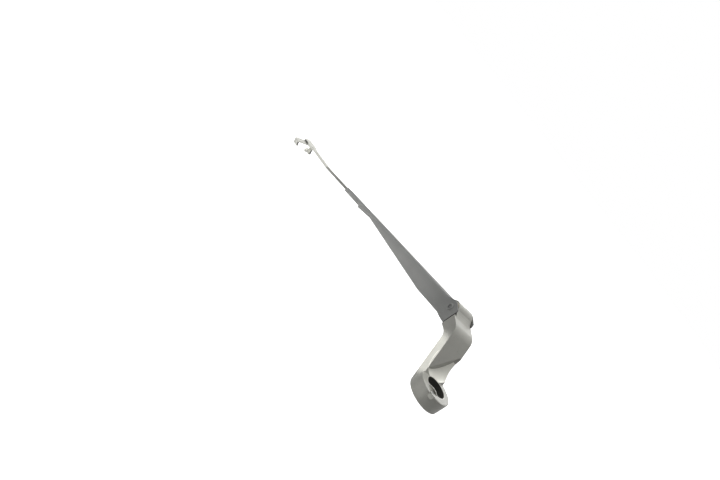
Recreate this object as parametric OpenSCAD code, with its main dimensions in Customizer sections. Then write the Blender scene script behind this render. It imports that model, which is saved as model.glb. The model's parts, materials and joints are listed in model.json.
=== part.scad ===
// Wiper arm: a die-cast head on the spindle, a pressed channel hinged to it,
// a tension spring inside the channel, and a flat rod whose end carries a clip with a side pin and a strap.
// X runs along the arm, Z is the spindle's axis, and the head's underside is at Z = 0.

/* [Mounting boss] */
// Diameter of the round boss
boss_d = 33; // [30:0.5:38]
// Height of the boss
boss_h = 13.5; // [12:0.5:16]
// Rounding of the boss's edges
boss_edge = 1; // [0.4:0.1:1.5]
// Diameter of the nut's recess
recess_d = 20; // [18:0.5:22]
// Depth of the nut's recess
recess_depth = 5.5; // [4:0.5:6.5]
// Diameter of the spindle's bore
bore_d = 8.4; // [7:0.1:10]
// Height of the straight part of the bore
bore_land = 3; // [2:0.5:4]
// Diameter of the spindle's taper at its wide end
taper_d = 13; // [11:0.5:15]
// Height of the straight mouth under the taper
mouth_h = 2; // [1.5:0.1:2.5]
// Height of the lip that stands over the boss on its near side
lip_h = 2; // [1:0.2:2.6]

/* [Neck] */
// Width of the neck
neck_w = 23.4; // [20:0.2:28]
// Thickness of the neck, square to its slope
neck_t = 9; // [8:0.5:11]
// Slope of the neck
neck_angle = 59; // [55:1:63]
// Wall around the pockets in the neck's underside
neck_wall = 3; // [2.4:0.2:4]
// Rib between the two pockets
neck_rib = 2.6; // [2:0.2:4]
// Height of the level shelf on the neck
shelf_z = 52; // [50:0.5:54]
// Radius of the hollow that leaves room for the nut's socket
scoop_r = 24.6; // [23:0.2:26]
// Reach of the hollow into the neck, from the spindle's axis
scoop_reach = 15.3; // [13:0.1:16]

/* [Hinge] */
// Place of the hinge pin along X
hinge_x = 57.4; // [55:0.2:62]
// Height of the hinge pin
hinge_z = 50.8; // [50:0.2:53]
// Place of the arm's middle plane along Y
arm_y = 0.5; // [0:0.1:1]
// Slope of the arm as it rests on its stop
droop = 16.7; // [12:0.1:20]
// Diameter of the hinge pin
pin_d = 6; // [5:0.2:6.6]
// Diameter of the hinge pin's heads
pin_head_d = 6.8; // [6.4:0.2:9]
// Radius of the head's round knuckle
knuckle_r = 8.1; // [7.4:0.1:8.3]
// Outer diameter of the two flanged bushes
bush_d = 8.4; // [7.8:0.1:9]
// Thickness of the bushes' flanges
bush_flange = 0.6; // [0.4:0.1:0.8]
// Slot in the knuckle for the spring's link
slot_w = 5.2; // [4.8:0.2:6.4]

/* [Channel] */
// Thickness of the pressed steel sheet
sheet = 1.4; // [1:0.1:1.6]
// Height of the channel's top over the hinge pin
channel_top = 5.3; // [5:0.1:5.8]
// Length of the channel from the hinge pin
channel_len = 327.5; // [300:1:350]
// Where the walls' lower edge starts to rise
deep_len = 52; // [40:1:70]
// Depth of the walls under the hinge pin
channel_depth = 11.6; // [11:0.2:13]
// Where the channel closes around the rod
crimp_start = 246; // [235:1:255]
// Where the walls' lower edges are folded under the rod
fold_start = 268; // [260:1:275]
// Depth of the walls' toe before that fold
crimp_toe = 1.8; // [0.5:0.1:2.2]
// Radius of the channel's upper edges
edge_r = 2.2; // [1.5:0.1:2.6]
// Radius of the walls' round ends at the hinge
lobe_r = 7.2; // [6.6:0.1:7.6]

/* [Rod] */
// Width of the flat rod
rod_w = 8.6; // [8:0.1:10]
// Thickness of the flat rod
rod_t = 3.2; // [3:0.1:3.6]
// Where the rod bends, from the hinge pin
bend_at = 430; // [400:1:450]
// Length of the rod after its bend
end_len = 148; // [140:1:170]
// Angle of the bend
end_pitch = 2.4; // [0:0.1:6]
// Twist of the rod's end about its own length
end_twist = 22.7; // [10:0.1:28]
// Width of the lock strap along the rod
strap_w = 23; // [18:0.5:26]
// Reach of the lock strap from the rod's middle
strap_reach = 19.5; // [15:0.1:22]
// Thickness of the clip's sheet: lock strap, plate and lug
strap_t = 2; // [1.6:0.1:2.4]
// Drop of the strap's turned-down end
strap_drop = 8; // [5:0.1:9]
// Place of the side pin, back from the rod's end
side_pin_back = 40; // [36:0.5:44]
// Drop of the side pin under the rod's middle
side_pin_drop = 7.7; // [7:0.1:9]
// Diameter of the side pin
side_pin_d = 6.4; // [5:0.1:6.6]
// Free length of the side pin
side_pin_len = 8; // [6:0.5:10]

/* [Spring and link] */
// Distance from the hinge pin to the link's pin
link_arm = 7.2; // [7:0.1:7.6]
// Diameter of the link's pin
link_pin_d = 3.6; // [3:0.1:4]
// Thickness of the link
link_t = 4; // [3:0.2:4.4]
// Length of the link between its holes
link_len = 21; // [20:0.5:23]
// Distance from the hinge pin to the rod's hole for the spring
hook_at = 117; // [108:1:125]
// Diameter of the spring's wire
wire_d = 2; // [1.6:0.1:2.2]
// Mean radius of the spring's turns
coil_r = 4.6; // [4.2:0.1:4.8]
// Number of whole turns
coil_turns = 35; // [28:1:35]

/* [Fit] */
// Radial clearance of pins in their holes
fit_gap = 0.04; // [0.02:0.01:0.08]
// Gap between parts that move past each other
run_gap = 0.3; // [0.2:0.05:0.4]
// Gap between the rod and the sheet that closes around it
crimp_gap = 0.03; // [0.02:0.01:0.06]

/* [Hidden] */
$fn = 64;
far = 200;

crimp_w = rod_w + 2 * crimp_gap + 2 * sheet;
trough_end = crimp_w / 2 + 0.35;
half_w = neck_w / 2;
inner_half = half_w - sheet;
knuckle_half = inner_half - bush_flange - 0.15;
rod_top = channel_top - sheet - crimp_gap;
rod_h = rod_top - rod_t / 2;
crimp_bottom = rod_top - rod_t - crimp_gap - sheet;
shoulder = 11.2;
foot_x = 8.9;
neck_run = [cos(neck_angle), sin(neck_angle)];
neck_side = [sin(neck_angle), -cos(neck_angle)];
link_angle = 115;
link_pos = link_arm * [cos(link_angle), -sin(link_angle)];
hook_h = -2.5;
spring_slope = atan2(hook_h - link_pos[1], hook_at - link_pos[0]);
span = norm([hook_at, hook_h] - link_pos) - link_len;
wire_hole = wire_d / 2 + 0.35;
clip_len = side_pin_back + side_pin_d / 2 + 3.7;
twist_to = end_len - clip_len - 1;
twist_from = twist_to - 8;
clip_half = rod_w / 2 + 0.15;
lug_face = rod_w / 5;

function to_arm(dx, dz) = [dx * cos(droop) - dz * sin(droop), dx * sin(droop) + dz * cos(droop)];
function arc(c, r, a0, a1, n) =
    [for (i = [0:n]) let (a = a0 + (a1 - a0) * i / n) c + r * [cos(a), sin(a)]];
function curve(a, b, c, n) =
    [for (i = [0:n]) let (t = i / n) (1 - t) * (1 - t) * a + 2 * t * (1 - t) * b + t * t * c];

// A side view in the XZ plane, given its width about the arm's middle plane
module slab(w) {
    translate([0, w / 2, 0]) rotate([90, 0, 0]) linear_extrude(w) children();
}

// A round bar along Y, centred on the arm's middle plane
module cross_bar(r, w) {
    rotate([90, 0, 0]) cylinder(r = r, h = w, center = true);
}

// The frame of the arm: origin in the hinge pin, X along the channel
module arm_frame() {
    translate([hinge_x, arm_y, hinge_z]) rotate([0, droop, 0]) children();
}

// The frame of the rod's end, before and after its twist
module bend_frame() {
    arm_frame() translate([bend_at, 0, rod_h]) rotate([0, -end_pitch, 0]) children();
}
module end_frame() {
    bend_frame() rotate([-end_twist, 0, 0]) children();
}

// Side view of the neck, the shelf and the shoulder behind the channel
module neck_profile() {
    shoulder_x = hinge_x - shoulder;
    low = [foot_x, boss_h] + neck_t * neck_side;
    foot = low - neck_run * (low[1] / neck_run[1]);
    corner_t = (shelf_z - 1.5 - boss_h) / neck_run[1];
    corner = [foot_x, boss_h] + neck_run * corner_t;
    under_z = shelf_z - 13.2;
    under = low + neck_run * ((under_z - low[1]) / neck_run[1]);
    polygon(concat(
        [[0, 0], foot],
        curve(under - 4 * neck_run, under, under + [4, 0.3], 5),
        [[shoulder_x, under_z + 0.4], [shoulder_x, shelf_z + 0.6]],
        [[shoulder_x - 2, shelf_z + 0.2]],
        curve(corner + [5, 0.9], corner, corner - 5 * neck_run, 8),
        [[foot_x, boss_h], [0, boss_h]]
    ));
}

// The round boss with its rounded edges
module boss_body() {
    r = boss_d / 2;
    rotate_extrude($fn = 128) polygon(concat(
        [[0, 0], [r - 0.6, 0], [r, 0.6]],
        arc([r - boss_edge, boss_h - boss_edge], boss_edge, 0, 90, 4),
        [[0, boss_h]]
    ));
}

// The hollow above the boss that leaves room for the nut and its socket
module scoop() {
    rim = recess_d / 2 + 0.25;
    centre_z = boss_h + sqrt(scoop_r * scoop_r - rim * rim);
    intersection() {
        translate([0, 0, centre_z]) sphere(r = scoop_r, $fn = 96);
        rotate([0, 0, 28.5]) translate([-50, -50, boss_h]) cube([50 + scoop_reach, 100, 60]);
    }
}

// The stepped hole through the boss: nut recess, straight land, spindle taper, straight mouth
module boss_bores() {
    floor_z = boss_h - recess_depth;
    translate([0, 0, floor_z]) cylinder(d = recess_d, h = far, $fn = 96);
    translate([0, 0, -1]) cylinder(d = bore_d, h = far);
    translate([0, 0, -1]) cylinder(d = taper_d, h = 1 + mouth_h);
    translate([0, 0, mouth_h - 0.01])
        cylinder(d1 = taper_d, d2 = bore_d + 1.2, h = floor_z - bore_land - mouth_h);
}

// The thin lip, its pocket and the small ear that carried a cap
module cap_seat() {
    lip_r = recess_d / 2;
    arch = (5.6 * 5.6 + lip_h * lip_h) / (2 * lip_h);
    intersection() {
        translate([0, 0, boss_h - 1]) rotate([0, 0, 105]) rotate_extrude(angle = 65, $fn = 96)
            translate([lip_r - 0.5, 0]) square([1.6, lip_h + 1]);
        rotate([0, 0, 137.5]) translate([0, 0, boss_h + lip_h - arch]) rotate([0, 90, 0])
            cylinder(r = arch, h = 20);
    }
    rotate([0, 0, 146]) translate([boss_d / 2 - 2, -2.6, boss_h - 3.2]) cube([3.4, 5.2, 4.2]);
}
module cap_pocket() {
    rotate([0, 0, 147]) translate([recess_d / 2 + 1.7, -2.6, boss_h - 2.4]) cube([2.6, 5.2, 5]);
}

// The two open pockets in the neck's underside, with a rib between them.
// The far one is short, because the scoop thins the neck there.
module neck_pockets() {
    low = [foot_x, boss_h] + neck_t * neck_side;
    pocket_w = (neck_w - 2 * neck_wall - neck_rib) / 2;
    depth = neck_t - neck_wall - 1;
    top_end = 30;
    for (side = [-1, 1]) let (start = side < 0 ? 21 : 10)
        translate([low[0], arm_y + side * (neck_rib + pocket_w) / 2, low[1]]) rotate([0, -neck_angle, 0])
            translate([start, 0, -1]) linear_extrude(depth + 1) pocket_outline(top_end - start, pocket_w, 2);
}
module pocket_outline(len, w, r) {
    translate([r, -w / 2]) square([len - 2 * r, w]);
    translate([0, r - w / 2]) square([len, w - 2 * r]);
    for (x = [r, len - r], y = [r - w / 2, w / 2 - r]) translate([x, y]) circle(r = r, $fn = 32);
}

// Side view of the knuckle: barrel, cheeks and the seat of the link's pin
module knuckle_profile() {
    shoulder_x = hinge_x - shoulder;
    link_at = [hinge_x, hinge_z] + [link_pos[0] * cos(droop) + link_pos[1] * sin(droop),
                                    link_pos[1] * cos(droop) - link_pos[0] * sin(droop)];
    translate([hinge_x, hinge_z]) circle(r = knuckle_r, $fn = 96);
    translate(link_at) circle(r = 4.2);
    polygon(concat(
        [[shoulder_x - 3, link_at[1] - 4.2], [link_at[0], link_at[1] - 4.2], [hinge_x, hinge_z]],
        curve([hinge_x, hinge_z] + knuckle_r * [cos(118), sin(118)], [hinge_x - 8.5, shelf_z + 1.5],
              [shoulder_x - 3, shelf_z], 6)
    ));
    polygon([link_at + 4.2 * [cos(-20), sin(-20)], [hinge_x, hinge_z] + knuckle_r * [cos(-25), sin(-25)],
             [hinge_x, hinge_z], link_at]);
}

// The slot in the knuckle, open to the front and below, in which the link swings
module knuckle_slot() {
    link_at = [hinge_x + link_pos[0] * cos(droop) + link_pos[1] * sin(droop),
               hinge_z + link_pos[1] * cos(droop) - link_pos[0] * sin(droop)];
    translate([0, arm_y, 0]) slab(slot_w) translate(link_at)
        polygon([[-4.1, -30], [-4.1, 0], [-3.2, 2.7], [22.5, 33.3], [40, 33], [40, -30]]);
}

module arm_head() {
    color("gainsboro") difference() {
        union() {
            boss_body();
            difference() {
                translate([0, arm_y, 0]) slab(neck_w) neck_profile();
                translate([-50, -50, -1]) cube([50 + foot_x - 4, 100, boss_h + 60]);
                scoop();
            }
            translate([0, arm_y, 0]) slab(2 * knuckle_half) knuckle_profile();
            cap_seat();
        }
        boss_bores();
        cap_pocket();
        neck_pockets();
        knuckle_slot();
        translate([hinge_x, arm_y, hinge_z]) cross_bar(bush_d / 2 + fit_gap, 60);
        arm_frame() translate([link_pos[0], 0, link_pos[1]]) cross_bar(link_pin_d / 2, 60);
    }
}

// A flanged bush: sleeve in the cheek, flange against the channel's wall
module bush(side) {
    sleeve = knuckle_half - slot_w / 2;
    translate([hinge_x, arm_y, hinge_z]) rotate([-90 * side, 0, 0]) difference() {
        union() {
            translate([0, 0, slot_w / 2]) cylinder(d = bush_d, h = sleeve);
            translate([0, 0, knuckle_half]) cylinder(r = knuckle_r - 0.8, h = bush_flange);
        }
        cylinder(r = pin_d / 2 + fit_gap, h = 40);
    }
}
module bush_near() {
    color("tan") bush(1);
}
module bush_far() {
    color("tan") bush(-1);
}

// The hinge pin: a rivet with a dished head on each side
module hinge_pin() {
    color("silver") arm_frame() difference() {
        union() {
            cross_bar(pin_d / 2, 2 * half_w + 1);
            for (side = [-1, 1]) rotate([-90 * side, 0, 0]) translate([0, 0, half_w]) {
                cylinder(d = pin_head_d, h = 0.4);
                translate([0, 0, 0.4]) cylinder(d1 = pin_head_d, d2 = pin_head_d - 0.8, h = 0.4);
            }
        }
        for (side = [-1, 1]) rotate([-90 * side, 0, 0]) translate([0, 0, half_w + 0.1])
            cylinder(d1 = pin_d - 3, d2 = pin_d - 0.8, h = 0.9);
    }
}

// Side view of the channel, lobes and toes included
module channel_side() {
    polygon(concat(
        [to_arm(-shoulder + run_gap, -10.6), to_arm(-shoulder + 0.9, -6.5), to_arm(-shoulder + 0.9, 3.4),
         to_arm(-shoulder + 2.3, 5.6)],
        arc([0, 0], lobe_r, 112, 76, 4),
        [[10, channel_top], [channel_len, channel_top], [channel_len, crimp_bottom],
         [crimp_start, crimp_bottom], [crimp_start - 6, crimp_bottom + 0.5],
         [crimp_start - 14, crimp_bottom + 0.6], [deep_len, -channel_depth],
         [22, 0.3 - channel_depth], [8, 0.3 - channel_depth], [1.6, -0.9 - channel_depth]]
    ));
}

// Plan of the channel, drawn in by the sheet's thickness for its inside.
// It ends a small step wider than the crimp.
module channel_plan(inset) {
    w = half_w - inset;
    c = trough_end - inset;
    polygon([[-30, -w], [45, -w], [crimp_start - 6, -c], [far * 3, -c],
             [far * 3, c], [crimp_start - 6, c], [45, w], [-30, w]]);
}

// What rounds one upper edge between two points of the plan
module edge_cut(x0, y0, x1, y1) {
    run = norm([x1 - x0, y1 - y0]);
    translate([x0, y0, channel_top]) rotate([0, 0, atan2(y1 - y0, x1 - x0)]) difference() {
        translate([0, -edge_r, -edge_r]) cube([run + 0.01, edge_r + 2, edge_r + 2]);
        translate([-1, -edge_r, -edge_r]) rotate([0, 90, 0]) cylinder(r = edge_r, h = run + 2, $fn = 48);
    }
}

// The tapered trough and the parallel crimp, solid, with their upper edges rounded
module trough_body() {
    difference() {
        intersection() {
            slab(2 * half_w) channel_side();
            translate([-30, -30, -30]) cube([30 + crimp_start - 6, 60, 60]);
            translate([0, 0, -30]) linear_extrude(60) channel_plan(0);
        }
        for (side = [-1, 1]) scale([1, side, 1]) {
            edge_cut(10, half_w, 60, half_w);
            edge_cut(45, half_w, crimp_start - 6, trough_end);
        }
    }
}
module crimp_body() {
    difference() {
        slab(crimp_w) polygon([[crimp_start - 8, crimp_bottom], [fold_start, crimp_bottom - crimp_toe],
                               [fold_start + 1, crimp_bottom], [channel_len, crimp_bottom],
                               [channel_len, channel_top - 0.15], [crimp_start - 8, channel_top - 0.15]]);
        translate([0, 0, -0.15]) for (side = [-1, 1]) scale([1, side, 1])
            edge_cut(crimp_start - 10, crimp_w / 2, channel_len + 2, crimp_w / 2);
    }
}

module channel() {
    web_start = 8;
    color("dimgray") arm_frame() difference() {
        union() {
            trough_body();
            crimp_body();
        }
        intersection() {
            translate([-30, -30, -40]) cube([crimp_start + 30, 60, 40 + channel_top - sheet]);
            translate([0, 0, -40]) linear_extrude(80) channel_plan(sheet);
        }
        translate([-30, -inner_half, -20]) cube([30 + web_start, 2 * inner_half, 40]);
        translate([crimp_start - 1, 0, rod_h])
            slot_box(far * 2, rod_w + 2 * crimp_gap, rod_t + 2 * crimp_gap);
        translate([crimp_start - 1, -1, crimp_bottom - 3]) cube([far, 2, sheet + 4]);
        cross_bar(pin_d / 2 + fit_gap / 2, 60);
    }
}
module slot_box(len, w, t) {
    translate([0, -w / 2, -t / 2]) cube([len, w, t]);
}

// Side view of the rod: hooked end, step up to the channel's web, straight run, bend
module rod_profile() {
    t = rod_t / 2;
    kink = t * tan(end_pitch / 2);
    step_h = (hook_h + rod_h) / 2;
    tip = [bend_at, rod_h] + (twist_from + 0.2) * [cos(end_pitch), sin(end_pitch)];
    up = t * [-sin(end_pitch), cos(end_pitch)];
    polygon(concat(
        [[hook_at - wire_hole - 2, hook_h + t]],
        curve([hook_at + 6, hook_h + t], [hook_at + 10, hook_h + t], [hook_at + 14, step_h + t], 4),
        curve([hook_at + 15, step_h + t + 0.5], [hook_at + 18, rod_h + t], [hook_at + 23, rod_h + t], 4),
        [[bend_at - kink, rod_h + t], tip + up, tip - up, [bend_at + kink, rod_h - t]],
        curve([hook_at + 25, rod_h - t], [hook_at + 19, rod_h - t], [hook_at + 16, step_h - t], 4),
        curve([hook_at + 15, step_h - t - 0.5], [hook_at + 11, hook_h - t], [hook_at + 7, hook_h - t], 4),
        [[hook_at - wire_hole - 2, hook_h - t]]
    ));
}

// Side view of the clip: a plate under the rod and a strap that bridges the blade and turns down
module strap_outline(reach) {
    bend_r = strap_t + 0.6;
    polygon(concat(
        [[0, -rod_w / 2], [0, reach - bend_r]],
        arc([-bend_r, reach - bend_r], bend_r, 0, 90, 6),
        [[-strap_drop, reach], [-strap_drop, reach - strap_t]],
        arc([-bend_r, reach - bend_r], bend_r - strap_t, 90, 0, 4),
        [[-strap_t, -rod_w / 2]]
    ));
}

// The clip's turned-down near edge, in which the side pin is riveted
module pin_lug() {
    lug_r = side_pin_d / 2 + 2.2;
    drop = side_pin_drop - rod_t / 2;
    translate([end_len - side_pin_back, lug_face, -rod_t / 2]) rotate([90, 0, 0]) linear_extrude(strap_t) {
        translate([0, -drop]) circle(r = lug_r);
        polygon([[-lug_r + 0.1, -drop], [lug_r - 0.1, -drop], [lug_r + 1.5, -strap_t], [lug_r + 1.5, 0],
                 [-lug_r - 1.5, 0], [-lug_r - 1.5, -strap_t]]);
    }
}

// The pressed clip under the rod's end: plate, lug for the side pin, and lock strap
module end_clip() {
    color("gainsboro") end_frame() difference() {
        union() {
            translate([end_len - clip_len, -clip_half, -rod_t / 2 - strap_t])
                cube([clip_len, clip_half + lug_face, strap_t]);
            translate([end_len, 0, -rod_t / 2]) rotate([0, -90, 0]) linear_extrude(strap_w)
                strap_outline(strap_reach);
            pin_lug();
        }
        translate([end_len - side_pin_back, 0, -side_pin_drop]) cross_bar(side_pin_d / 2 - 0.7, 40);
    }
}

// The flat rod: hooked end in the channel, bend, twist and round end
module rod() {
    color("silver") difference() {
        union() {
            arm_frame() slab(rod_w) rod_profile();
            bend_frame() hull() {
                translate([twist_from - 0.5, 0, 0]) slot_box(0.2, rod_w - 0.04, rod_t - 0.04);
                rotate([-end_twist, 0, 0]) translate([twist_to + 0.5, 0, 0])
                    slot_box(0.2, rod_w - 0.04, rod_t - 0.04);
            }
            end_frame() {
                translate([twist_to, 0, 0]) slot_box(end_len - twist_to - rod_w / 2, rod_w, rod_t);
                translate([end_len - rod_w / 2, 0, -rod_t / 2]) cylinder(d = rod_w, h = rod_t);
            }
        }
        arm_frame() translate([hook_at, 0, -20]) cylinder(r = wire_hole, h = 30);
    }
}

// The side pin that the blade hangs on: shank riveted through the lug, collar, body, round nose
module side_pin() {
    r = side_pin_d / 2;
    nose = 1;
    back = -strap_t;
    color("lightgray") end_frame() translate([end_len - side_pin_back, lug_face, -side_pin_drop])
        rotate([-90, 0, 0]) rotate_extrude() polygon(concat(
            [[0, back - 0.8], [r - 0.2, back - 0.8], [r + 0.6, back], [r - 0.7, back],
             [r - 0.7, 0], [r + 1.6, 0], [r + 1.6, 1.2], [r, 1.2]],
            arc([r - nose, side_pin_len - nose], nose, 0, 90, 4),
            [[0, side_pin_len]]
        ));
}

// Path of the spring's wire along its own X axis: each entry is a point and its outward normal.
// It starts with a side hook in the XY plane, turns as a close coil and ends with a hook in the XZ plane.
coil_start = coil_r + 2.6;
turn_out = 2.2;
turn_arc = turn_out / coil_r * 180 / PI;
coil_angle = 360 * coil_turns + 90 - 2 * turn_arc;
coil_len = span - 2 * (coil_start + turn_out);

function hook_pt(a) = [[coil_r - coil_r * cos(a), coil_r * sin(a), 0], [-cos(a), sin(a), 0]];
function turn_pt(t) = let (a = turn_arc * (1 - cos(t)))
    [[coil_start + turn_out * sin(t), coil_r * cos(a), coil_r * sin(a)], [0, cos(a), sin(a)]];
function coil_pt(t) = let (a = turn_arc + coil_angle * t)
    [[coil_start + turn_out + coil_len * t, coil_r * cos(a), coil_r * sin(a)], [0, cos(a), sin(a)]];
function swap(e) = [[span - e[0][0], e[0][2], e[0][1]], [-e[1][0], e[1][2], e[1][1]]];
function spring_path() = let (
    front = concat([for (a = [-160:20:80]) hook_pt(a)], [for (t = [0:22.5:67.5]) turn_pt(t)]),
    steps = ceil(coil_angle / 27),
    body = [for (i = [0:steps]) coil_pt(i / steps)],
    back = [for (i = [len(front) - 1:-1:0]) swap(front[i])]
) concat(front, body, back);

// A round wire swept along a path of points and normals
module swept_wire(path, r, sides) {
    n = len(path);
    function tangent(i) = let (d = path[min(i + 1, n - 1)][0] - path[max(i - 1, 0)][0]) d / norm(d);
    function flat(i) = let (t = tangent(i), m = path[i][1] - (path[i][1] * t) * t) m / norm(m);
    points = [for (i = [0:n - 1]) let (m = flat(i), b = cross(tangent(i), m)) for (k = [0:sides - 1])
        path[i][0] + r * (cos(360 * k / sides) * m + sin(360 * k / sides) * b)];
    sides_faces = [for (i = [0:n - 2]) for (k = [0:sides - 1]) let (q = (k + 1) % sides)
        [i * sides + k, (i + 1) * sides + k, (i + 1) * sides + q, i * sides + q]];
    first = [[for (k = [0:sides - 1]) k]];
    last = [[for (k = [sides - 1:-1:0]) (n - 1) * sides + k]];
    polyhedron(points, concat(sides_faces, first, last), convexity = 10);
}

// The frame of the link and the spring: origin in the link's pin, X towards the rod's hole
module link_frame() {
    arm_frame() translate([link_pos[0], 0, link_pos[1]]) rotate([0, -spring_slope, 0]) children();
}

module tension_spring() {
    color("slategray") link_frame() translate([link_len, 0, 0]) swept_wire(spring_path(), wire_d / 2, 8);
}

// The points of a path moved sideways by d, mitred at its corners
function beside(path, d) = let (n = len(path) - 1) [for (i = [0:n]) let (
    before = left_of(path[max(i - 1, 0)], path[max(i, 1)]),
    after = left_of(path[min(i, n - 1)], path[min(i + 1, n)])
) path[i] + d * (before + after) / (1 + before * after)];
function left_of(a, b) = [a[1] - b[1], b[0] - a[0]] / norm(b - a);

// The C-shaped link: it passes under the hinge pin and carries the spring's front hook
module spring_link() {
    band = 2.6;
    low = -(pin_d / 2 + 0.2 + band / 2);
    path = [[0, 0], [3.6, low], [11, low], [link_len, 0]];
    color("darkgray") link_frame() difference() {
        slab(link_t) {
            circle(r = 3.4);
            translate([link_len, 0]) circle(r = 3.2);
            polygon(concat(beside(path, -band / 2), [for (i = [3:-1:0]) beside(path, band / 2)[i]]));
        }
        cross_bar(link_pin_d / 2 + fit_gap, 30);
        translate([link_len, 0, 0]) cross_bar(wire_hole + 0.3, 30);
    }
}
module link_pin() {
    color("silver") link_frame() cross_bar(link_pin_d / 2, 2 * knuckle_half - 0.4);
}

arm_head();
bush_near();
bush_far();
hinge_pin();
channel();
rod();
end_clip();
side_pin();
tension_spring();
spring_link();
link_pin();
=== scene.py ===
"""Wiper arm: finishes, the drawn spring, the knurl in the spindle's taper, lights and the pictured view."""
import json
import math

import bpy
from bpy.props import FloatProperty, FloatVectorProperty, IntProperty, PointerProperty
from mathutils import Matrix, Vector


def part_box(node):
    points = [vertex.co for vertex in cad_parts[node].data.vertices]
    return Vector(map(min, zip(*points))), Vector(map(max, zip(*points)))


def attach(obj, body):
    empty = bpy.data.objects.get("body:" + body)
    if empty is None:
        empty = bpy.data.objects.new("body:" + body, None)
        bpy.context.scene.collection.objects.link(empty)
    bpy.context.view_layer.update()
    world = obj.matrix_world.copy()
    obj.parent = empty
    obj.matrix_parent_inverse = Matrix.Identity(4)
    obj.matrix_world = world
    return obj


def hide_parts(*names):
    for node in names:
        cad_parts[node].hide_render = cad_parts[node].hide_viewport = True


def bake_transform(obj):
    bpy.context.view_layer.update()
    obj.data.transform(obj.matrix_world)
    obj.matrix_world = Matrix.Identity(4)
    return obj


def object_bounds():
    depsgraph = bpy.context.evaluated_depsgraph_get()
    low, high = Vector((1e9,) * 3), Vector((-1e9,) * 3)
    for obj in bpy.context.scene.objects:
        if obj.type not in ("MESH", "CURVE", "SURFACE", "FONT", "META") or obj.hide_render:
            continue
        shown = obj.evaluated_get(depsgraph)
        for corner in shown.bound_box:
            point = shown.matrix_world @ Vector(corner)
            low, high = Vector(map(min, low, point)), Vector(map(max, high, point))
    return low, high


bl_info = {
    "name": "Wiper Arm",
    "version": (1, 0, 0),
    "blender": (4, 5, 0),
    "location": "View3D > Sidebar > Wiper Arm",
    "description": "Finishes and small details of a windscreen wiper arm",
    "category": "Object",
}

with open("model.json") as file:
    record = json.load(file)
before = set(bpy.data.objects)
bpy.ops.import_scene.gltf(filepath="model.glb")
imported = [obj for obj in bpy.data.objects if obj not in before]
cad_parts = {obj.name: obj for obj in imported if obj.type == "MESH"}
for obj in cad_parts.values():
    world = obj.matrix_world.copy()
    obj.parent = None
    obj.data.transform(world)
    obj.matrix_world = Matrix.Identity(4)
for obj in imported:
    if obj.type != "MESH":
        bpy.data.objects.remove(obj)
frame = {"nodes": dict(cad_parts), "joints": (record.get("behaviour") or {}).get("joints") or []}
CAD_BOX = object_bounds()
NODES = frame["nodes"]
MM = 0.001
# The solid's wire is faceted, so its far end lies this much short of a round wire's
FACETS = 0.16 * MM
# How far a hook stands off its first turn, and how long the bend between them is
HOOK_LEAD = 2.6 * MM
HOOK_BEND = 2.2 * MM
# Degrees of a turn between two rings of the drawn wire
COIL_STEP = 15
# Middle of the rod's round end, and the direction in which its face looks up
TIP_END = Vector((0.6133, 0.0005, -0.1071))
TIP_UP = Vector((0.22787, 0.38591, 0.89395))
# The clip's plate lies this far under the middle of the rod's end
PLATE_DROP = 3.6 * MM
# Painted shade on the rim of the rod's end: how much of the end it covers, and where the rim looks
RIM_LENGTH = 29 * MM
RIM_LOOKS = (0.52, 0.74, -0.43)
# Distance along the arm from the hinge pin to the rod's bend
BEND_S = 430 * MM
# The scoop's round floor: its radius, the height of its middle, and the heights between which it's lightened
# as painted light
SCOOP_R = 24.6 * MM
SCOOP_Z = 35.86 * MM
SCOOP_LOW = 13.5 * MM
SCOOP_HIGH = 30 * MM
# The nut's recess in the boss: its radius and the height up to which it's darkened as painted shade
RECESS_R = 10.12 * MM
RECESS_Z = 13.1 * MM
# The cap seat's painted highlight on its ear and painted shade in the pocket beside it: middle, radius and
# brightness
SEAT_LIGHT_AND_SHADE = (
    ((-0.0150, 0.0102, 0.0122), 2.6 * MM, 1.75),
    ((-0.0124, 0.0093, 0.0144), 1.8 * MM, 0.25),
)
# Along X, the channel's paint is lightened more and more between these two places, a painted light
PAINTED_LIGHT_FROM = 75 * MM
PAINTED_LIGHT_FULL = 170 * MM
# The knurl: heights and radii of its taper, how deep its teeth are sunk and how far they stand in
KNURL_Z = (2.2 * MM, 4.6 * MM)
KNURL_R = (6.40 * MM, 5.03 * MM)
KNURL_ROOT = 0.1 * MM
KNURL_RIDGE = 0.4 * MM
# Share of the pitch that a tooth of the knurl covers
KNURL_SHARE = 0.75
# Half the floor's width, in metres
FLOOR_HALF = 12


# Places taken from the frame

def joint_named(name):
    """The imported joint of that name."""
    for joint in frame["joints"]:
        if joint["name"] == name:
            return joint
    raise RuntimeError(f"the frame has no joint named {name}")


HINGE = Vector(joint_named("arm_fold")["pos_m"])
LINK_PIN = Vector(joint_named("link_swing")["pos_m"])
SPRING_AXIS = Vector(joint_named("spring_stretch")["axis"]).normalized()
# At rest the arm droops by this angle; the directions go along, across and square to it
DROOP = math.radians(16.7)
ALONG = Vector((math.cos(DROOP), 0, -math.sin(DROOP)))
ACROSS = Vector((0, 1, 0))
UPWARD = Vector((math.sin(DROOP), 0, math.cos(DROOP)))


# Sizes and colours

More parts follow.
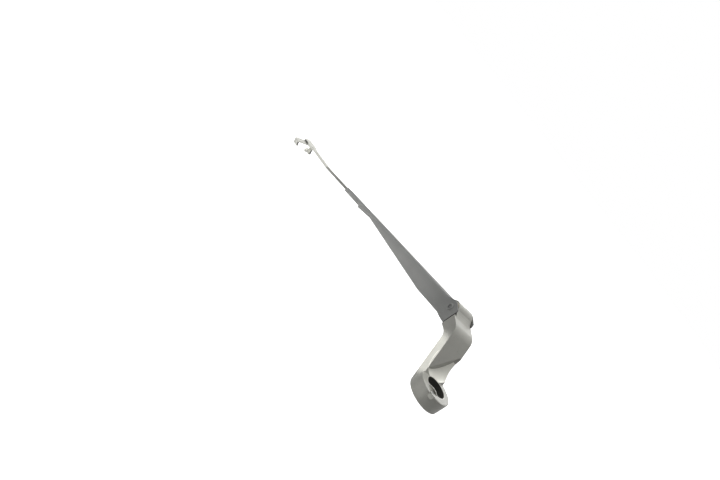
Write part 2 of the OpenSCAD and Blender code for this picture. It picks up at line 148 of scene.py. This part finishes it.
class StageSettings(bpy.types.PropertyGroup):
    """Light, floor and camera."""
    key_power: FloatProperty(name="Key light", description="Power of the light at the near side",
                             default=0.95, min=0.0)
    boss_power: FloatProperty(name="Boss light", description="Power of the narrow light on the boss",
                              default=7.0, min=0.0)
    top_power: FloatProperty(name="Top light", description="Power of the light overhead",
                             default=11.0, min=0.0)
    neck_power: FloatProperty(name="Neck light", description="Power of the narrow light on the neck",
                              default=55.0, min=0.0)
    rod_power: FloatProperty(name="Rod light", description="Power of the light on the rod's end",
                             default=13.0, min=0.0)
    far_power: FloatProperty(name="Far light", description="Power of the light behind the arm",
                             default=1.0, min=0.0)
    ambient: FloatProperty(name="Ambient", description="Strength of the even light from all around",
                           default=0.12, min=0.0)
    floor_gap: FloatProperty(name="Floor gap", description="Gap between the lowest point and the floor",
                             default=0.001, min=0.0, unit="LENGTH")
    floor_colour: FloatVectorProperty(name="Floor", description="Colour of the floor", subtype="COLOR",
                                      default=(0.94, 0.94, 0.94))
    lens: FloatProperty(name="Lens", description="Focal length on a 36 mm sensor", default=33.53)
    camera_place: FloatVectorProperty(name="Camera", description="Place of the camera", subtype="XYZ",
                                      default=(-0.3646, 0.3611, 0.2042), unit="LENGTH")
    camera_aim: FloatVectorProperty(name="Aim", description="Direction of view", subtype="DIRECTION",
                                    default=(0.8204, -0.4758, -0.3172))
    camera_up: FloatVectorProperty(name="Up", description="Upward direction of the picture",
                                   subtype="DIRECTION", default=(0.565, 0.5891, 0.5777))


class FinishSettings(bpy.types.PropertyGroup):
    """Colours of the finishes."""
    cast: FloatVectorProperty(name="Cast head", description="Colour of the cast head", subtype="COLOR",
                              default=(0.43, 0.427, 0.388))
    paint: FloatVectorProperty(name="Channel paint", description="Colour of the channel", subtype="COLOR",
                               default=(0.335, 0.338, 0.326))
    rod_dark: FloatVectorProperty(name="Rod, painted", description="Colour of the rod next to the channel",
                                  subtype="COLOR", default=(0.34, 0.34, 0.31))
    # The rod's pale end colour is painted light; the clip and the side pin are painted from it too
    rod_light: FloatVectorProperty(name="Rod's end", description="Colour of the rod after its bend",
                                   subtype="COLOR", default=(0.80, 0.80, 0.735))
    steel: FloatVectorProperty(name="Steel", description="Colour of pins and link", subtype="COLOR",
                               default=(0.56, 0.56, 0.55))
    spring: FloatVectorProperty(name="Spring", description="Colour of the spring's wire", subtype="COLOR",
                                default=(0.16, 0.165, 0.17))
    bush: FloatVectorProperty(name="Bush", description="Colour of the bushes", subtype="COLOR",
                              default=(0.72, 0.66, 0.5))


class DetailSettings(bpy.types.PropertyGroup):
    """Small details."""
    knurl_teeth: IntProperty(name="Knurl teeth", description="Teeth in the spindle's taper",
                             default=42, min=12)
    wire_radius: FloatProperty(name="Wire radius", description="Radius of the spring's wire",
                               default=0.001, unit="LENGTH")
    turn_radius: FloatProperty(name="Turn radius", description="Mean radius of the spring's turns",
                               default=0.0046, unit="LENGTH")
    turns: IntProperty(name="Turns", description="Whole turns of the spring", default=35, min=4)
    link_length: FloatProperty(name="Link length", description="Distance between the link's holes",
                               default=0.021, unit="LENGTH")


# Shared helpers

def settings(context):
    """The stage, finish and detail settings of the scene."""
    scene = context.scene
    return scene.wiper_stage, scene.wiper_finish, scene.wiper_detail


def add_mesh(name, verts, faces, smooth=True):
    """A new object from points and faces."""
    mesh = bpy.data.meshes.new(name)
    mesh.from_pydata([tuple(v) for v in verts], [], faces)
    mesh.update()
    obj = bpy.data.objects.new(name, mesh)
    bpy.context.scene.collection.objects.link(obj)
    if smooth:
        mesh.polygons.foreach_set("use_smooth", [True] * len(mesh.polygons))
    return obj


def tube(name, points, normals, radius, sides=12):
    """A round wire swept along points, with a normal at each."""
    verts, faces = [], []
    count = len(points)
    for i, point in enumerate(points):
        ahead = points[min(i + 1, count - 1)] - points[max(i - 1, 0)]
        ahead.normalize()
        side = (normals[i] - ahead * normals[i].dot(ahead)).normalized()
        third = ahead.cross(side)
        for k in range(sides):
            turn = 2 * math.pi * k / sides
            verts.append(point + (side * math.cos(turn) + third * math.sin(turn)) * radius)
    for i in range(count - 1):
        for k in range(sides):
            q = (k + 1) % sides
            faces.append((i * sides + k, (i + 1) * sides + k, (i + 1) * sides + q, i * sides + q))
    faces.append(tuple(range(sides)))
    faces.append(tuple((count - 1) * sides + k for k in reversed(range(sides))))
    return add_mesh(name, verts, faces)


def give(obj, material):
    """The object gets this one material."""
    obj.data.materials.clear()
    obj.data.materials.append(material)


class NodeMaker:
    """Builds one procedural material, node by node."""

    def __init__(self, name):
        self.material = bpy.data.materials.new(name)
        self.material.use_nodes = True
        self.tree = self.material.node_tree
        self.shader = self.tree.nodes["Principled BSDF"]
        coordinates = self.tree.nodes.new("ShaderNodeTexCoord")
        self.place = coordinates.outputs["Object"]
        self.normal = coordinates.outputs["Normal"]

    def node(self, kind, operation=None):
        """A node, with its operation where it has one."""
        made = self.tree.nodes.new(kind)
        if operation:
            made.operation = operation
        return made

    def link(self, a, b):
        """Joins an output to an input."""
        self.tree.links.new(a, b)

    def stretched(self, scale):
        """The object's own coordinates, stretched by scale."""
        made = self.node("ShaderNodeMapping")
        made.inputs["Scale"].default_value = scale
        self.link(self.place, made.inputs["Vector"])
        return made.outputs["Vector"]

    def noise(self, size, detail=3.0, rough=0.55, scale=(1, 1, 1)):
        """Noise whose grains are about size metres across."""
        made = self.node("ShaderNodeTexNoise")
        made.inputs["Scale"].default_value = 1.0 / size
        made.inputs["Detail"].default_value = detail
        made.inputs["Roughness"].default_value = rough
        self.link(self.stretched(scale), made.inputs["Vector"])
        return made.outputs["Fac"]

    def ramp(self, fac, stops):
        """A colour ramp with stops of (place, colour)."""
        made = self.node("ShaderNodeValToRGB")
        ramp = made.color_ramp
        while len(ramp.elements) < len(stops):
            ramp.elements.new(0.5)
        for element, (spot, colour) in zip(ramp.elements, stops):
            element.position = spot
            element.color = (*colour, 1)
        self.link(fac, made.inputs["Fac"])
        return made.outputs["Color"]

    def grey(self, fac, low, high, start=0.3, end=0.7):
        """Fac turned into a number between low and high."""
        made = self.node("ShaderNodeMapRange")
        made.inputs["From Min"].default_value = start
        made.inputs["From Max"].default_value = end
        made.inputs["To Min"].default_value = low
        made.inputs["To Max"].default_value = high
        self.link(fac, made.inputs["Value"])
        return made.outputs["Result"]

    def mix(self, fac, a, b):
        """A mix of two colours, each an output or a colour."""
        made = self.node("ShaderNodeMix")
        made.data_type = "RGBA"
        for socket, value in ((made.inputs[0], fac), (made.inputs[6], a), (made.inputs[7], b)):
            if isinstance(value, bpy.types.NodeSocket):
                self.link(value, socket)
            else:
                socket.default_value = (*value, 1)
        return made.outputs[2]

    def math(self, operation, a, b=0.0):
        """A sum, product or the like of two numbers or outputs."""
        made = self.node("ShaderNodeMath", operation)
        for socket, value in zip(made.inputs, (a, b)):
            if isinstance(value, bpy.types.NodeSocket):
                self.link(value, socket)
            else:
                socket.default_value = value
        return made.outputs[0]

    def between(self, value, low, high, soft):
        """1 where value lies between low and high, 0 outside, with soft ends."""
        rise = self.grey(value, 0.0, 1.0, low - soft, low + soft)
        fall = self.grey(value, 1.0, 0.0, high - soft, high + soft)
        return self.math("MULTIPLY", rise, fall)

    def axes(self, vector):
        """The three numbers of a vector."""
        parts = self.node("ShaderNodeSeparateXYZ")
        self.link(vector, parts.inputs["Vector"])
        return parts.outputs

    def against(self, operation, vector, constant):
        """The dot product of a vector output with a constant one, or its distance from it."""
        made = self.node("ShaderNodeVectorMath", operation)
        self.link(vector, made.inputs[0])
        made.inputs[1].default_value = tuple(constant)
        return made.outputs["Value"]

    def facing(self, direction):
        """How much the surface looks in a direction: 1 where it does, 0 at a right angle to it."""
        return self.against("DOT_PRODUCT", self.normal, direction)

    def height(self, direction):
        """How far a place lies from the origin, measured in a direction."""
        return self.against("DOT_PRODUCT", self.place, direction)

    def away(self, centre):
        """How far a place lies from a centre."""
        return self.against("DISTANCE", self.place, centre)

    def radius(self, a, b):
        """The length of a flat vector with these two parts."""
        return self.math("SQRT", self.math("ADD", self.math("MULTIPLY", a, a), self.math("MULTIPLY", b, b)))

    def bumps(self, heights):
        """Bump from (height output, strength, distance) layers, the first one the finest."""
        last = None
        for height, strength, distance in heights:
            made = self.node("ShaderNodeBump")
            made.inputs["Strength"].default_value = strength
            made.inputs["Distance"].default_value = distance
            self.link(height, made.inputs["Height"])
            if last is not None:
                self.link(last, made.inputs["Normal"])
            last = made.outputs["Normal"]
        self.link(last, self.shader.inputs["Normal"])

    def finish(self, colour, roughness, metallic=0.0, specular=0.5):
        """Sets the shader: colour and roughness may be outputs."""
        for name, value in (("Base Color", colour), ("Roughness", roughness)):
            if isinstance(value, bpy.types.NodeSocket):
                self.link(value, self.shader.inputs[name])
            elif name == "Base Color":
                self.shader.inputs[name].default_value = (*value, 1)
            else:
                self.shader.inputs[name].default_value = value
        self.shader.inputs["Metallic"].default_value = metallic
        self.shader.inputs["Specular IOR Level"].default_value = specular
        return self.material


def shade(colour, factor):
    """The colour, lighter or darker."""
    return tuple(min(1.0, channel * factor) for channel in colour)


# Materials

def cast_metal(colours):
    """Silver-painted die casting: fine orange peel, slight clouding, darker in its pores.

    The nut's recess is darkened as painted shade, the scoop's floor is lightened as painted light, and the
    cap's seat has a painted highlight on its ear and painted shade in the pocket beside it.
    """
    m = NodeMaker("cast_metal")
    cloud = m.noise(0.018, 2.0)
    grain = m.noise(0.0007, 4.0, 0.6)
    pits = m.noise(0.0022, 3.0)
    base = m.ramp(cloud, [(0.3, shade(colours.cast, 0.93)), (0.7, shade(colours.cast, 1.04))])
    base = m.mix(m.grey(pits, 0.0, 0.35, 0.62, 0.74), base, shade(colours.cast, 0.6))
    x, y, z = m.axes(m.place)
    # Painted shade: the nut's recess is darkened, where shade falls in the hole
    inside = m.grey(m.radius(x, y), 1.0, 0.0, RECESS_R - 0.1 * MM, RECESS_R + 0.1 * MM)
    below = m.grey(z, 1.0, 0.0, RECESS_Z - 0.3 * MM, RECESS_Z + 0.3 * MM)
    base = m.mix(m.math("MULTIPLY", inside, below), base, shade(colours.cast, 0.25))
    # Painted light: the scoop's floor is lightened to stand in for the light it reflects
    bowl = m.between(m.away((0, 0, SCOOP_Z)), SCOOP_R - 0.12 * MM, SCOOP_R + 0.12 * MM, 0.1 * MM)
    floor = m.math("MULTIPLY", bowl, m.between(z, SCOOP_LOW, SCOOP_HIGH, 0.1 * MM))
    base = m.mix(floor, base, shade(colours.cast, 2.2))
    # Painted highlight on the cap seat's ear and painted shade in the pocket beside it
    for centre, radius, brightness in SEAT_LIGHT_AND_SHADE:
        spot = m.grey(m.away(centre), 1.0, 0.0, radius - 0.4 * MM, radius)
        base = m.mix(spot, base, shade(colours.cast, brightness))
    m.bumps([(grain, 0.16, 0.0002), (pits, 0.10, 0.0004)])
    return m.finish(base, m.grey(cloud, 0.30, 0.40), 0.1, 0.5)


def channel_paint(colours):
    """Semi-gloss paint on pressed steel: orange peel, painted light towards the far end, painted shade along
    the top.

    Its sheared near end is painted almost black, a painted shadow in the gap against the head.
    """
    m = NodeMaker("channel_paint")
    peel = m.noise(0.0012, 2.0)
    drawn = m.noise(0.004, 3.0, 0.5, (0.12, 1, 1))
    cloud = m.noise(0.05, 2.0)
    near = m.ramp(cloud, [(0.3, shade(colours.paint, 0.92)), (0.7, shade(colours.paint, 1.08))])
    far_painted_light = m.ramp(cloud, [(0.3, shade(colours.paint, 1.38)), (0.7, shade(colours.paint, 1.62))])
    upper_painted_shade = m.ramp(cloud, [(0.3, shade(colours.paint, 0.7)), (0.7, shade(colours.paint, 0.85))])
    over_pin = m.math("SUBTRACT", m.height(UPWARD), UPWARD.dot(HINGE))
    # Painted light: the paint is lightened more and more towards the far end
    base = m.mix(m.grey(m.axes(m.place)["X"], 0.0, 1.0, PAINTED_LIGHT_FROM, PAINTED_LIGHT_FULL), near, far_painted_light)
    # Painted shade: the paint is darkened above the hinge pin's height, towards the top of the walls
    base = m.mix(m.grey(over_pin, 0.0, 0.5, -3 * MM, 5 * MM), base, upper_painted_shade)
    base = m.mix(m.grey(drawn, 0.0, 0.22, 0.5, 0.8), base, shade(colours.paint, 1.25))
    # Painted shadow: the sheared near end, facing the head, is painted almost black
    near_end_shadow = m.grey(m.facing((-1, 0, 0)), 0.0, 1.0, 0.8, 0.95)
    base = m.mix(near_end_shadow, base, shade(colours.paint, 0.12))
    # Painted shade: faces that look up are darkened
    top = m.grey(m.axes(m.normal)["Z"], 0.0, 1.0, 0.25, 0.6)
    base = m.mix(top, base, shade(colours.paint, 0.5))
    m.bumps([(peel, 0.10, 0.0002), (drawn, 0.05, 0.0005)])
    return m.finish(base, m.grey(drawn, 0.33, 0.45), 0.0, 0.5)


def pin_paint(colours):
    """The channel's paint on the hinge pin, with painted shade in the dish of its riveted heads."""
    m = NodeMaker("pin_paint")
    peel = m.noise(0.0008, 2.0)
    cloud = m.noise(0.004, 2.0)
    base = m.ramp(cloud, [(0.3, shade(colours.paint, 0.92)), (0.7, shade(colours.paint, 1.1))])
    spots = m.axes(m.place)
    out = m.radius(m.math("SUBTRACT", spots["X"], HINGE.x), m.math("SUBTRACT", spots["Z"], HINGE.z))
    # Painted shade in the dish of the pin's heads, broken up by noise
    dish = m.between(out, 0.8 * MM, 2.2 * MM, 0.4 * MM)
    dish_shade = m.math("MULTIPLY", dish, m.grey(peel, 0.3, 1.0, 0.35, 0.6))
    base = m.mix(dish_shade, base, shade(colours.paint, 0.3))
    m.bumps([(peel, 0.14, 0.0002)])
    return m.finish(base, m.grey(cloud, 0.3, 0.45), 0.0, 0.5)


def rod_paint(colours):
    """Painted flat rod: darker up to its bend and pale beyond it as painted light, with faint drawing lines.

    Painted shade goes round its end as a dark rim.
    """
    m = NodeMaker("rod_paint")
    lines = m.noise(0.0016, 3.0, 0.5, (0.06, 1, 1))
    speck = m.noise(0.0006, 2.0)
    bend_x = (HINGE + ALONG * BEND_S).x
    rim_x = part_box("rod")[1][0] - RIM_LENGTH
    dark = m.ramp(lines, [(0.3, shade(colours.rod_dark, 0.9)), (0.7, shade(colours.rod_dark, 1.1))])
    pale = m.ramp(lines, [(0.3, shade(colours.rod_light, 0.92)), (0.7, shade(colours.rod_light, 1.05))])
    x = m.axes(m.place)["X"]
    # Painted light: past the bend the rod takes the pale colour, standing in for the light its twisted end
    # catches
    past = m.grey(x, 0.0, 1.0, bend_x - 2 * MM, bend_x + 1 * MM)
    # Painted shade on the rim of the rod's end
    rim = m.math("MULTIPLY", m.grey(m.facing(RIM_LOOKS), 0.0, 1.0, 0.45, 0.6),
                 m.grey(x, 0.0, 1.0, rim_x, rim_x + 3 * MM))
    m.bumps([(speck, 0.12, 0.0001), (lines, 0.08, 0.0003)])
    base = m.mix(rim, m.mix(past, dark, pale), shade(colours.rod_dark, 0.2))
    return m.finish(base, m.grey(lines, 0.4, 0.52), 0.0, 0.45)


def clip_paint(colours):
    """Pale paint on the pressed clip as painted light, with painted shade on its sheared edges, which face
    back along the arm.
    """
    m = NodeMaker("clip_paint")
    speck = m.noise(0.0007, 3.0)
    cloud = m.noise(0.006, 2.0)
    plate = TIP_UP.dot(TIP_END) - PLATE_DROP
    # Painted shade on the sheared edges under the plate, which face back along the arm
    back = m.grey(m.facing(-ALONG), 0.0, 1.0, 0.6, 0.8)
    back_edge_shade = m.math("MULTIPLY", back, m.grey(m.height(TIP_UP), 1.0, 0.0, plate - 0.3 * MM, plate))
    # Painted light: the clip takes the rod's pale end colour
    base = m.ramp(cloud, [(0.3, shade(colours.rod_light, 0.85)), (0.7, shade(colours.rod_light, 0.96))])
    m.bumps([(speck, 0.12, 0.0001)])
    return m.finish(m.mix(back_edge_shade, base, shade(colours.rod_dark, 0.25)), m.grey(cloud, 0.4, 0.5), 0.0, 0.45)


def pale_pin(colours):
    """The side pin painted pale like the rod's end, a painted light, rubbed unevenly."""
    m = NodeMaker("pale_pin")
    speck = m.noise(0.0006, 3.0)
    rubbed = m.noise(0.003, 2.0, 0.5, (1, 0.3, 1))
    # Painted light: the pin takes a brighter copy of the rod's pale end colour
    base = m.ramp(rubbed, [(0.35, shade(colours.rod_light, 1.05)), (0.7, shade(colours.rod_light, 1.15))])
    m.bumps([(speck, 0.10, 0.0001)])
    return m.finish(base, m.grey(rubbed, 0.3, 0.42), 0.1, 0.5)


def zinc_steel(colours):
    """Zinc-plated steel, lightly worn."""
    m = NodeMaker("zinc_steel")
    wear = m.noise(0.003, 3.0)
    fine = m.noise(0.0004, 3.0)
    base = m.ramp(wear, [(0.3, shade(colours.steel, 0.82)), (0.7, shade(colours.steel, 1.08))])
    m.bumps([(fine, 0.15, 0.0001)])
    return m.finish(base, m.grey(wear, 0.3, 0.46), 0.85)


def spring_wire(colours):
    """Oil-tempered spring wire."""
    m = NodeMaker("spring_wire")
    scale = m.noise(0.002, 4.0)
    fine = m.noise(0.0003, 2.0)
    base = m.ramp(scale, [(0.35, shade(colours.spring, 0.7)), (0.65, shade(colours.spring, 1.25))])
    m.bumps([(fine, 0.2, 0.0001)])
    return m.finish(base, m.grey(scale, 0.32, 0.5), 0.7)


def bush_plastic(colours):
    """Matte natural plastic of the bushes."""
    m = NodeMaker("bush_plastic")
    cloud = m.noise(0.004, 3.0)
    base = m.ramp(cloud, [(0.3, shade(colours.bush, 0.9)), (0.7, shade(colours.bush, 1.05))])
    m.bumps([(m.noise(0.0005), 0.1, 0.0001)])
    return m.finish(base, m.grey(cloud, 0.5, 0.62))


# Operators

class WIPER_OT_stage(bpy.types.Operator):
    """Makes the floor, the world, the lamps and the camera"""
    bl_idname = "wiper.stage"
    bl_label = "Stage"

    def execute(self, context):
        stage = settings(context)[0]
        low = CAD_BOX[0][2] - stage.floor_gap
        self.floor(stage, low)
        self.world(context, stage)
        self.lamp("key_light", (0.45, 1.1, 0.12), (0.25, 0, 0), 0.6, stage.key_power)
        self.lamp("top_light", (0.33, 0.0, 1.2), (0.1, 0, 0), 0.8, stage.top_power)
        self.lamp("far_light", (0.9, -0.9, 0.5), (0.2, 0, 0), 0.6, stage.far_power)
        self.narrow_lamp("neck_light", (0.25, 1.0, 0.0), (0.0245, 0.012, 0.0228), 2.45, stage.neck_power)
        self.narrow_lamp("boss_light", (-0.43, 0.94, 0.0), (-0.0068, 0.0148, 0.0066), 0.9, stage.boss_power)
        self.narrow_lamp("rod_light", (0.45, 1.0, 0.45), (0.54, 0.0, -0.07), 13.0, stage.rod_power)
        self.camera(context, stage)
        return {"FINISHED"}

    def floor(self, stage, low):
        """A wide white floor, which also glows for the camera, so that it's white in the picture."""
        signs = ((-1, -1), (1, -1), (1, 1), (-1, 1))
        corners = [(FLOOR_HALF * x, FLOOR_HALF * y, low) for x, y in signs]
        floor = add_mesh("floor", corners, [(0, 1, 2, 3)], smooth=False)
        m = NodeMaker("floor_white")
        base = m.ramp(m.noise(0.2, 2.0), [(0.3, shade(stage.floor_colour, 0.99)), (0.7, stage.floor_colour)])
        give(floor, m.finish(base, 0.9, 0.0, 0.1))
        output = m.tree.nodes["Material Output"]
        glow = m.node("ShaderNodeEmission")
        glow.inputs["Strength"].default_value = 0.9
        added = m.node("ShaderNodeAddShader")
        seen = m.node("ShaderNodeLightPath")
        lit = m.node("ShaderNodeMixShader")
        m.link(m.shader.outputs[0], added.inputs[0])
        m.link(glow.outputs[0], added.inputs[1])
        m.link(seen.outputs["Is Camera Ray"], lit.inputs[0])
        m.link(m.shader.outputs[0], lit.inputs[1])
        m.link(added.outputs[0], lit.inputs[2])
        m.link(lit.outputs[0], output.inputs["Surface"])

    def world(self, context, stage):
        """White for the camera, for reflections and through clear things, and dim as a light."""
        world = bpy.data.worlds.new("white_room")
        context.scene.world = world
        world.use_nodes = True
        nodes, links = world.node_tree.nodes, world.node_tree.links
        back = nodes["Background"]
        back.inputs["Color"].default_value = (1, 1, 1, 1)
        path = nodes.new("ShaderNodeLightPath")
        seen = nodes.new("ShaderNodeMath")
        seen.operation = "MAXIMUM"
        links.new(path.outputs["Is Camera Ray"], seen.inputs[0])
        links.new(path.outputs["Is Glossy Ray"], seen.inputs[1])
        clear = nodes.new("ShaderNodeMath")
        clear.operation = "MAXIMUM"
        links.new(seen.outputs[0], clear.inputs[0])
        links.new(path.outputs["Is Transmission Ray"], clear.inputs[1])
        strength = nodes.new("ShaderNodeMapRange")
        strength.inputs["To Min"].default_value = stage.ambient
        strength.inputs["To Max"].default_value = 1.0
        links.new(clear.outputs[0], strength.inputs["Value"])
        links.new(strength.outputs["Result"], back.inputs["Strength"])

    def lamp(self, name, place, target, size, power):
        """A round lamp, size metres across."""
        data = bpy.data.lights.new(name, "AREA")
        data.shape = "DISK"
        data.size = size
        data.energy = power
        self.aim(data, place, target)

    def narrow_lamp(self, name, place, target, angle, power):
        """A soft round beam, angle degrees wide."""
        data = bpy.data.lights.new(name, "SPOT")
        data.energy = power
        data.spot_size = math.radians(angle)
        data.spot_blend = 0.5
        data.shadow_soft_size = 4 * MM
        self.aim(data, place, target)

    def aim(self, data, place, target):
        """Puts a lamp at its place, pointing at its target."""
        lamp = bpy.data.objects.new(data.name, data)
        lamp.location = place
        away = Vector(target) - Vector(place)
        lamp.rotation_euler = away.to_track_quat("-Z", "Y").to_euler()
        bpy.context.scene.collection.objects.link(lamp)

    def camera(self, context, stage):
        """The photograph's view, fitted to the arm's outlines."""
        data = bpy.data.cameras.new("photo_view")
        data.lens = stage.lens
        data.sensor_width = 36
        data.clip_start = 0.01
        data.clip_end = 50
        camera = bpy.data.objects.new("photo_view", data)
        back = -Vector(stage.camera_aim).normalized()
        right = Vector(stage.camera_up).cross(back).normalized()
        up = back.cross(right)
        turn = Matrix((right, up, back)).transposed().to_4x4()
        camera.matrix_world = Matrix.Translation(stage.camera_place) @ turn
        context.scene.collection.objects.link(camera)
        context.scene.camera = camera
        context.scene.view_settings.view_transform = "Standard"


class WIPER_OT_finishes(bpy.types.Operator):
    """Gives every solid of the arm its finish"""
    bl_idname = "wiper.finishes"
    bl_label = "Finishes"

    def execute(self, context):
        colours = settings(context)[1]
        steel = zinc_steel(colours)
        bush = bush_plastic(colours)
        paint = channel_paint(colours)
        rod = rod_paint(colours)
        table = {
            "arm_head": cast_metal(colours),
            "channel": paint,
            "rod": rod,
            "end_clip": clip_paint(colours),
            "tension_spring": spring_wire(colours),
            "bush_near": bush,
            "bush_far": bush,
            "hinge_pin": pin_paint(colours),
            "side_pin": pale_pin(colours),
            "spring_link": steel,
            "link_pin": steel,
        }
        for name, material in table.items():
            give(NODES[name], material)
        return {"FINISHED"}


class WIPER_OT_spring(bpy.types.Operator):
    """Draws the spring's wire smoothly between the link and the rod"""
    bl_idname = "wiper.spring"
    bl_label = "Tension spring"

    def execute(self, context):
        detail = settings(context)[2]
        start = LINK_PIN + SPRING_AXIS * detail.link_length
        upward = ACROSS.cross(SPRING_AXIS)
        length = self.reach(start) + FACETS - detail.wire_radius
        if length <= 0:
            raise RuntimeError("the spring has no length")
        points, normals = [], []
        for along, side, up, n_along, n_side, n_up in self.path(detail.turn_radius, length, detail.turns):
            points.append(start + SPRING_AXIS * along + ACROSS * side + upward * up)
            normals.append(SPRING_AXIS * n_along + ACROSS * n_side + upward * n_up)
        coil = tube("spring_wire", points, normals, detail.wire_radius)
        give(coil, bpy.data.materials["spring_wire"])
        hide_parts("tension_spring")
        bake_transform(coil)
        return {"FINISHED"}

    def reach(self, start):
        """Distance from the front hook to the far end of the spring's solid, along its axis."""
        return max((v.co - start).dot(SPRING_AXIS) for v in NODES["tension_spring"].data.vertices)

    def path(self, r, length, turns):
        """Places and normals of the wire: front hook, bend, coil, bend and rear hook."""
        lead = r + HOOK_LEAD
        swing = HOOK_BEND / r
        coil = length - 2 * (lead + HOOK_BEND)
        sweep = 2 * math.pi * turns + math.pi / 2 - 2 * swing

        def hook(a):
            return (r - r * math.cos(a), r * math.sin(a), 0, -math.cos(a), math.sin(a), 0)

        def turn(t):
            a = swing * (1 - math.cos(t))
            x = lead + HOOK_BEND * math.sin(t)
            return (x, r * math.cos(a), r * math.sin(a), 0, math.cos(a), math.sin(a))

        front = [hook(math.radians(a)) for a in range(-160, 89, 10)]
        front += [turn(math.radians(t)) for t in range(0, 81, 10)]
        steps = int(sweep / math.radians(COIL_STEP))
        middle = []
        for i in range(steps + 1):
            a = swing + sweep * i / steps
            x = lead + HOOK_BEND + coil * i / steps
            middle.append((x, r * math.cos(a), r * math.sin(a), 0, math.cos(a), math.sin(a)))
        # The rear hook is the front one seen from its other end, at a right angle to it
        rear = [(length - x, u, s, -nx, nu, ns) for x, s, u, nx, ns, nu in reversed(front)]
        return front + middle + rear


class WIPER_OT_cast_details(bpy.types.Operator):
    """Adds the knurl in the spindle's taper"""
    bl_idname = "wiper.cast_details"
    bl_label = "Cast details"

    def execute(self, context):
        detail = settings(context)[2]
        self.knurl(detail.knurl_teeth)
        return {"FINISHED"}

    def knurl(self, teeth):
        """Fine teeth along the taper, each a small ridge."""
        verts, faces = [], []
        for i in range(teeth):
            base = 2 * math.pi * i / teeth
            half = math.pi / teeth * KNURL_SHARE
            first = len(verts)
            for z, r in zip(KNURL_Z, KNURL_R):
                for turn, depth in ((-half, KNURL_ROOT), (0, -KNURL_RIDGE), (half, KNURL_ROOT)):
                    a = base + turn
                    verts.append(((r + depth) * math.cos(a), (r + depth) * math.sin(a), z))
            faces += [(first, first + 1, first + 4, first + 3), (first + 1, first + 2, first + 5, first + 4),
                      (first, first + 3, first + 5, first + 2), (first, first + 2, first + 1),
                      (first + 3, first + 4, first + 5)]
        ring = add_mesh("taper_knurl", verts, faces, smooth=False)
        give(ring, bpy.data.materials["cast_metal"])
        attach(ring, "head")


class WIPER_PT_panel(bpy.types.Panel):
    """Lists the steps that dress the arm"""
    bl_idname = "WIPER_PT_panel"
    bl_label = "Wiper Arm"
    bl_space_type = "VIEW_3D"
    bl_region_type = "UI"
    bl_category = "Wiper Arm"

    def draw(self, context):
        for step in STEPS:
            self.layout.operator(step.bl_idname)


STEPS = (WIPER_OT_stage, WIPER_OT_finishes, WIPER_OT_spring, WIPER_OT_cast_details)
GROUPS = {"wiper_stage": StageSettings, "wiper_finish": FinishSettings, "wiper_detail": DetailSettings}


def register():
    """Registers the classes and the scene's settings."""
    for group in GROUPS.values():
        bpy.utils.register_class(group)
    for step in (*STEPS, WIPER_PT_panel):
        bpy.utils.register_class(step)
    for name, group in GROUPS.items():
        setattr(bpy.types.Scene, name, PointerProperty(type=group))


def unregister():
    """Removes what register added."""
    for name in GROUPS:
        delattr(bpy.types.Scene, name)
    for step in (WIPER_PT_panel, *reversed(STEPS)):
        bpy.utils.unregister_class(step)
    for group in reversed(list(GROUPS.values())):
        bpy.utils.unregister_class(group)


def main():
    """Runs the steps in order."""
    register()
    bpy.ops.wiper.stage()
    bpy.ops.wiper.finishes()
    bpy.ops.wiper.spring()
    bpy.ops.wiper.cast_details()


if __name__ == "__main__":
    main()
